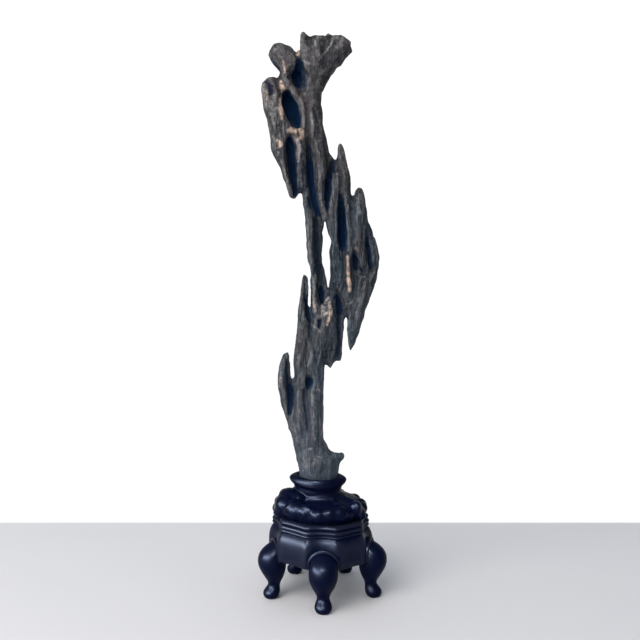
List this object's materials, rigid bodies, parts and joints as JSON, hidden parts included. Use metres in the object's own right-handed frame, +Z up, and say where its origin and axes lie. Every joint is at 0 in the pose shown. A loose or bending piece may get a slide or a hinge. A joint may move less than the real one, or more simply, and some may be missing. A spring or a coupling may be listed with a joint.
{
  "type": "scholars rock on stand",
  "caption": "Tall dark weathered scholar's rock with pits, flutes and a slit, standing in the socket of a round carved hardwood stand on bulbous legs.",
  "frame": {"origin": "centre of the whole part in plan, on the plane of the feet", "axes": "+Z up, -Y towards the front, +X to the right seen from the front"},
  "size_m": [0.1348, 0.135, 0.5783],
  "materials": {
    "dark_stone": "dense charcoal-grey limestone, weathered, with a soft waxed sheen",
    "dark_wood": "very dark hardwood, semi-gloss polish"
  },
  "bodies": {
    "root": {"stone": "dark_stone", "stand_body": "dark_wood", "leg_front": "dark_wood", "leg_front_left": "dark_wood", "leg_front_right": "dark_wood", "leg_rear_left": "dark_wood", "leg_rear_right": "dark_wood"}
  },
  "joints": []
}
